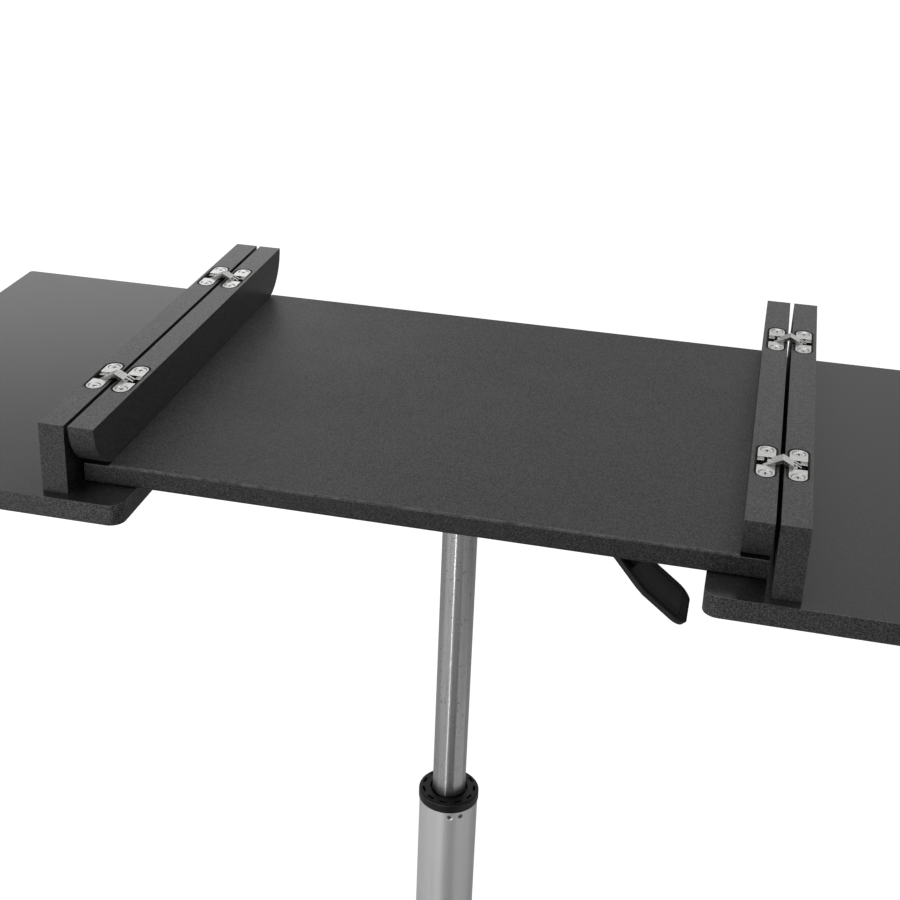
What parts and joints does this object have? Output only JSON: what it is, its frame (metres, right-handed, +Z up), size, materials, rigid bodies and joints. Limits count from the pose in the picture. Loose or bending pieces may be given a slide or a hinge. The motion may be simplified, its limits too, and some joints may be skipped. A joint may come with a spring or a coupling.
{
  "type": "laptop cart",
  "caption": "Height-adjustable laptop cart: centre board on a gas lift column, side boards that fold over on concealed hinges between upright rails, and a braked caster base.",
  "frame": {"origin": "on the floor, under the axis of the lift column, in the middle of the base", "axes": "+X to the right as the user sees it, along the row of boards, with the release lever on that side; +Y to the back; +Z up along the column"},
  "size_m": [0.9, 0.4898, 0.8901],
  "materials": {
    "board_laminate_speckled": "matt dark grey laminate with a fine pale speckle, on particle board",
    "board_laminate_satin": "smooth satin black laminate on particle board",
    "rail_board": "dark grey laminate with a faint fine grain, sawn ends speckled",
    "hinge_nickel": "bright satin nickel",
    "screw_steel": "dull zinc plate",
    "black_paint": "fine textured black powder coat",
    "black_plastic": "fine grained moulded plastic",
    "black_rod": "satin black paint",
    "tube_grey": "satin silver grey",
    "cylinder_bright": "ground and polished",
    "plain_steel": "bright drawn steel",
    "button_brass": "turned brass",
    "caster_tyre": "firm dark grey tread"
  },
  "bodies": {
    "base": {"base_hub": "black_paint", "base_arm_1": "black_paint", "base_arm_2": "black_paint", "base_arm_3": "black_paint", "base_arm_4": "black_paint", "arm_plugs": "black_plastic", "outer_tube": "tube_grey", "guide_cap": "black_plastic", "thrust_washer": "plain_steel"},
    "rod": {"piston_rod": "plain_steel", "rod_clip": "screw_steel"},
    "top": {"gas_cylinder": "cylinder_bright", "lift_bracket": "black_paint", "bracket_screws": "screw_steel", "lever_pin": "plain_steel", "centre_panel": "board_laminate_speckled", "inner_rail_left": "rail_board", "inner_rail_right": "rail_board", "inner_rail_screws": "screw_steel", "inner_hinge_cups_left": "hinge_nickel", "inner_hinge_cups_right": "hinge_nickel", "inner_hinge_pins_left": "hinge_nickel", "inner_hinge_pins_right": "hinge_nickel"},
    "lever": {"lever_rod": "black_rod", "lever_paddle": "black_plastic"},
    "button": {"release_button": "button_brass"},
    "links_left": {"hinge_links_left": "hinge_nickel"},
    "wing_left": {"wing_panel_left": "board_laminate_satin", "outer_rail_left": "rail_board", "outer_rail_screws_left": "screw_steel", "outer_hinge_cups_left": "hinge_nickel", "outer_hinge_pins_left": "hinge_nickel"},
    "links_right": {"hinge_links_right": "hinge_nickel"},
    "wing_right": {"wing_panel_right": "board_laminate_satin", "outer_rail_right": "rail_board", "outer_rail_screws_right": "screw_steel", "outer_hinge_cups_right": "hinge_nickel", "outer_hinge_pins_right": "hinge_nickel"},
    "caster_1": {"caster_stem_1": "plain_steel", "caster_hood_1": "black_plastic", "caster_axle_1": "plain_steel"},
    "wheels_1": {"caster_wheels_1": "caster_tyre"},
    "brake_1": {"caster_brake_1": "black_plastic"},
    "caster_2": {"caster_stem_2": "plain_steel", "caster_hood_2": "black_plastic", "caster_axle_2": "plain_steel"},
    "wheels_2": {"caster_wheels_2": "caster_tyre"},
    "brake_2": {"caster_brake_2": "black_plastic"},
    "caster_3": {"caster_stem_3": "plain_steel", "caster_hood_3": "black_plastic", "caster_axle_3": "plain_steel"},
    "wheels_3": {"caster_wheels_3": "caster_tyre"},
    "brake_3": {"caster_brake_3": "black_plastic"},
    "caster_4": {"caster_stem_4": "plain_steel", "caster_hood_4": "black_plastic", "caster_axle_4": "plain_steel"},
    "wheels_4": {"caster_wheels_4": "caster_tyre"},
    "brake_4": {"caster_brake_4": "black_plastic"}
  },
  "joints": [
    {"name": "column_turn", "type": "hinge", "parent": "base", "child": "rod", "pos_m": [0, 0, 0.066], "axis": [0, 0, 1], "continuous": true},
    {"name": "lift", "type": "slide", "parent": "rod", "child": "top", "axis": [0, 0, 1], "range_m": [-0.255, 0]},
    {"name": "lever_pull", "type": "hinge", "parent": "top", "child": "lever", "pos_m": [0.025, 0, 0.817], "axis": [0, -1, 0], "range_deg": [0, 7], "stiffness_Nm_per_rad": 1, "springref_deg": -8.59},
    {"name": "button_press", "type": "slide", "parent": "top", "child": "button", "axis": [0, 0, -1], "range_m": [0, 0.0036], "stiffness_N_per_m": 300, "springref_m": -0.003},
    {"name": "fold_inner_left", "type": "hinge", "parent": "top", "child": "links_left", "pos_m": [-0.2195, 0, 0.881], "axis": [0, 1, 0], "range_deg": [0, 90]},
    {"name": "fold_outer_left", "type": "hinge", "parent": "links_left", "child": "wing_left", "pos_m": [-0.2335, 0, 0.881], "axis": [0, 1, 0], "range_deg": [0, 90]},
    {"name": "fold_inner_right", "type": "hinge", "parent": "top", "child": "links_right", "pos_m": [0.2195, 0, 0.881], "axis": [0, -1, 0], "range_deg": [0, 90]},
    {"name": "fold_outer_right", "type": "hinge", "parent": "links_right", "child": "wing_right", "pos_m": [0.2335, 0, 0.881], "axis": [0, -1, 0], "range_deg": [0, 90]},
    {"name": "swivel_1", "type": "hinge", "parent": "base", "child": "caster_1", "pos_m": [0.19445, 0.19445, 0.066], "axis": [0, 0, 1], "continuous": true},
    {"name": "wheel_spin_1", "type": "hinge", "parent": "caster_1", "child": "wheels_1", "pos_m": [0.20718, 0.20718, 0.025], "axis": [-0.7071, 0.7071, 0], "continuous": true},
    {"name": "brake_lift_1", "type": "hinge", "parent": "caster_1", "child": "brake_1", "pos_m": [0.21814, 0.21814, 0.05185], "axis": [0.7071, -0.7071, 0], "range_deg": [0, 18]},
    {"name": "swivel_2", "type": "hinge", "parent": "base", "child": "caster_2", "pos_m": [-0.19445, 0.19445, 0.066], "axis": [0, 0, 1], "continuous": true},
    {"name": "wheel_spin_2", "type": "hinge", "parent": "caster_2", "child": "wheels_2", "pos_m": [-0.20718, 0.20718, 0.025], "axis": [-0.7071, -0.7071, 0], "continuous": true},
    {"name": "brake_lift_2", "type": "hinge", "parent": "caster_2", "child": "brake_2", "pos_m": [-0.21814, 0.21814, 0.05185], "axis": [0.7071, 0.7071, 0], "range_deg": [0, 18]},
    {"name": "swivel_3", "type": "hinge", "parent": "base", "child": "caster_3", "pos_m": [-0.19445, -0.19445, 0.066], "axis": [0, 0, 1], "continuous": true},
    {"name": "wheel_spin_3", "type": "hinge", "parent": "caster_3", "child": "wheels_3", "pos_m": [-0.20718, -0.20718, 0.025], "axis": [0.7071, -0.7071, 0], "continuous": true},
    {"name": "brake_lift_3", "type": "hinge", "parent": "caster_3", "child": "brake_3", "pos_m": [-0.21814, -0.21814, 0.05185], "axis": [-0.7071, 0.7071, 0], "range_deg": [0, 18]},
    {"name": "swivel_4", "type": "hinge", "parent": "base", "child": "caster_4", "pos_m": [0.19445, -0.19445, 0.066], "axis": [0, 0, 1], "continuous": true},
    {"name": "wheel_spin_4", "type": "hinge", "parent": "caster_4", "child": "wheels_4", "pos_m": [0.20718, -0.20718, 0.025], "axis": [0.7071, 0.7071, 0], "continuous": true},
    {"name": "brake_lift_4", "type": "hinge", "parent": "caster_4", "child": "brake_4", "pos_m": [0.21814, -0.21814, 0.05185], "axis": [-0.7071, -0.7071, 0], "range_deg": [0, 18]}
  ],
  "couplings": [
    {"joint": "button_press", "follows": "lever_pull", "m_per_rad": 0.029},
    {"joint": "fold_inner_left", "follows": "fold_outer_left", "ratio": 1},
    {"joint": "fold_inner_right", "follows": "fold_outer_right", "ratio": 1}
  ]
}
